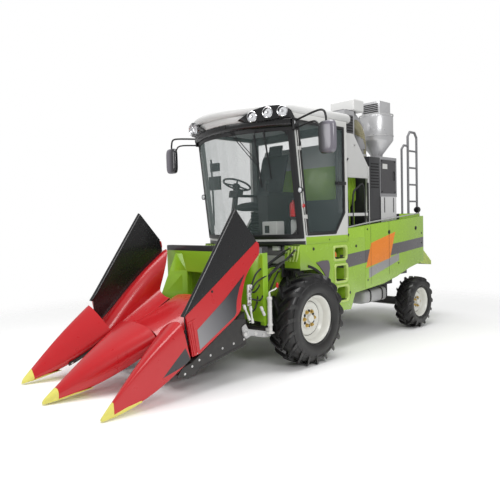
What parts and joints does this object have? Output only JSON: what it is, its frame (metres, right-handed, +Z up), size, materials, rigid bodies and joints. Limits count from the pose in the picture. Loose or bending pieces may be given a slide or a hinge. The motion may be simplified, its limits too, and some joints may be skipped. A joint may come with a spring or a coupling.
{
  "type": "combine harvester",
  "caption": "Compact self-propelled research combine with a row crop header, glazed cab, side doors, sampling cyclone and rear-steered wheels.",
  "frame": {"origin": "on the ground, under the middle of the machine's overall length and width", "axes": "-Y is the driving direction, +X is the machine's left side, +Z is up"},
  "size_m": [2.94, 6.29, 3.3],
  "materials": {
    "lime_paint": "glossy lime paint on moulded panels",
    "red_plastic": "glossy red moulded plastic",
    "black_plastic": "satin black moulded plastic",
    "black_steel": "black painted steel",
    "grey_paint": "satin light grey paint",
    "pale_paint": "semi-gloss white paint",
    "tyre": "black tyre rubber",
    "rim_paint": "cream enamel",
    "glass": "lightly green tinted safety glass",
    "zinc": "zinc plated steel",
    "chrome": "hard chrome",
    "cloth": "dark woven seat cloth",
    "hose": "black hydraulic hose",
    "lens": "clear lamp lens",
    "reflector": "mirror glass",
    "orange_decal": "orange film",
    "yellow_plastic": "yellow moulded plastic"
  },
  "bodies": {
    "chassis": {"chassis_frame": "black_steel", "front_axle": "black_steel", "rear_axle_beam": "black_steel", "front_crossbeam": "grey_paint", "thresher_housing": "grey_paint", "body_top": "black_plastic", "left_front_body": "lime_paint", "right_front_body": "lime_paint", "straw_hood": "lime_paint", "fuel_tank": "grey_paint", "cab_frame": "pale_paint", "rear_window": "glass", "right_window": "glass", "windshield": "glass", "lamp_band": "black_plastic", "cab_roof": "pale_paint", "seat_base": "black_plastic", "seat_cushion": "cloth", "seat_back": "cloth", "steering_column": "black_plastic", "left_mirror": "black_plastic", "right_mirror": "black_plastic", "grain_tank": "lime_paint", "sampling_rack": "pale_paint", "intake_duct": "grey_paint", "service_cabinets": "grey_paint", "cyclone": "grey_paint", "engine_block": "grey_paint", "rear_ladder": "zinc"},
    "cab_door": {"cab_door": "black_plastic", "door_glass": "glass"},
    "left_side_door": {"left_side_door": "lime_paint"},
    "right_side_door": {"right_side_door": "lime_paint"},
    "header": {"feeder_housing": "lime_paint", "header_frame": "lime_paint", "row_unit_frame": "black_steel", "left_shroud": "red_plastic", "right_shroud": "red_plastic", "middle_hood": "red_plastic", "left_fin": "black_plastic", "right_fin": "black_plastic", "support_jack": "pale_paint"},
    "left_nose": {"left_nose": "red_plastic"},
    "middle_nose": {"middle_nose": "red_plastic"},
    "right_nose": {"right_nose": "red_plastic"},
    "left_lift_barrel": {"left_lift_barrel": "zinc"},
    "left_lift_rod": {"left_lift_rod": "chrome"},
    "right_lift_barrel": {"right_lift_barrel": "zinc"},
    "right_lift_rod": {"right_lift_rod": "chrome"},
    "left_knuckle": {"left_knuckle": "black_steel"},
    "right_knuckle": {"right_knuckle": "black_steel"},
    "tie_rod": {"tie_rod": "zinc"},
    "front_left_wheel": {"front_left_tyre": "tyre", "front_left_rim": "rim_paint"},
    "front_right_wheel": {"front_right_tyre": "tyre", "front_right_rim": "rim_paint"},
    "rear_left_wheel": {"rear_left_tyre": "tyre", "rear_left_rim": "rim_paint"},
    "rear_right_wheel": {"rear_right_tyre": "tyre", "rear_right_rim": "rim_paint"}
  },
  "joints": [
    {"name": "header_lift", "type": "hinge", "parent": "chassis", "child": "header", "pos_m": [0, -0.355, 1.02], "axis": [-1, 0, 0], "range_deg": [0, 20]},
    {"name": "cab_door_hinge", "type": "hinge", "parent": "chassis", "child": "cab_door", "pos_m": [0.855, -0.27344, 1.46], "axis": [0, 0.1141, -0.9935], "range_deg": [0, 80]},
    {"name": "left_barrel_pivot", "type": "hinge", "parent": "chassis", "child": "left_lift_barrel", "pos_m": [0.43, -0.53, 0.4], "axis": [-1, 0, 0], "range_deg": [0, 20.3]},
    {"name": "left_rod_slide", "type": "slide", "parent": "left_lift_barrel", "child": "left_lift_rod", "axis": [0, -0.9939, 0.1104], "range_m": [0, 0.2257]},
    {"name": "left_side_door_hinge", "type": "hinge", "parent": "chassis", "child": "left_side_door", "pos_m": [0.84, 0.93, 1.54835], "axis": [0, -0.9976, -0.0698], "range_deg": [0, 75]},
    {"name": "left_steer", "type": "hinge", "parent": "chassis", "child": "left_knuckle", "pos_m": [0.6, 2.235, 0.37817], "axis": [0, 0, 1], "range_deg": [-40, 40]},
    {"name": "front_left_roll", "type": "hinge", "parent": "chassis", "child": "front_left_wheel", "pos_m": [0.92, -0.415, 0.51949], "axis": [1, 0, 0], "continuous": true},
    {"name": "rear_left_roll", "type": "hinge", "parent": "left_knuckle", "child": "rear_left_wheel", "pos_m": [0.825, 2.235, 0.37817], "axis": [1, 0, 0], "continuous": true},
    {"name": "right_barrel_pivot", "type": "hinge", "parent": "chassis", "child": "right_lift_barrel", "pos_m": [-0.43, -0.53, 0.4], "axis": [-1, 0, 0], "range_deg": [0, 20.3]},
    {"name": "right_rod_slide", "type": "slide", "parent": "right_lift_barrel", "child": "right_lift_rod", "axis": [0, -0.9939, 0.1104], "range_m": [0, 0.2257]},
    {"name": "right_side_door_hinge", "type": "hinge", "parent": "chassis", "child": "right_side_door", "pos_m": [-0.84, 0.93, 1.54835], "axis": [0, 0.9976, 0.0698], "range_deg": [0, 75]},
    {"name": "right_steer", "type": "hinge", "parent": "chassis", "child": "right_knuckle", "pos_m": [-0.6, 2.235, 0.37817], "axis": [0, 0, 1], "range_deg": [-40, 40]},
    {"name": "front_right_roll", "type": "hinge", "parent": "chassis", "child": "front_right_wheel", "pos_m": [-0.92, -0.415, 0.51949], "axis": [1, 0, 0], "continuous": true},
    {"name": "rear_right_roll", "type": "hinge", "parent": "right_knuckle", "child": "rear_right_wheel", "pos_m": [-0.825, 2.235, 0.37817], "axis": [1, 0, 0], "continuous": true},
    {"name": "tie_rod_pivot", "type": "hinge", "parent": "left_knuckle", "child": "tie_rod", "pos_m": [0.56, 2.405, 0.27857], "axis": [0, 0, 1], "range_deg": [-40, 40]},
    {"name": "left_nose_hinge", "type": "hinge", "parent": "header", "child": "left_nose", "pos_m": [0.79, -2.205, 0.678], "axis": [-1, 0, 0], "range_deg": [0, 60]},
    {"name": "middle_nose_hinge", "type": "hinge", "parent": "header", "child": "middle_nose", "pos_m": [0, -2.175, 0.568], "axis": [-1, 0, 0], "range_deg": [0, 60]},
    {"name": "right_nose_hinge", "type": "hinge", "parent": "header", "child": "right_nose", "pos_m": [-0.79, -2.205, 0.678], "axis": [-1, 0, 0], "range_deg": [0, 60]}
  ],
  "couplings": [
    {"joint": "left_barrel_pivot", "follows": "header_lift", "ratio": 0.9898},
    {"joint": "right_barrel_pivot", "follows": "header_lift", "ratio": 0.9898},
    {"joint": "left_rod_slide", "follows": "header_lift", "m_per_rad": 0.6409},
    {"joint": "right_rod_slide", "follows": "header_lift", "m_per_rad": 0.6409},
    {"joint": "right_steer", "follows": "left_steer", "ratio": 1},
    {"joint": "tie_rod_pivot", "follows": "left_steer", "ratio": -1}
  ]
}
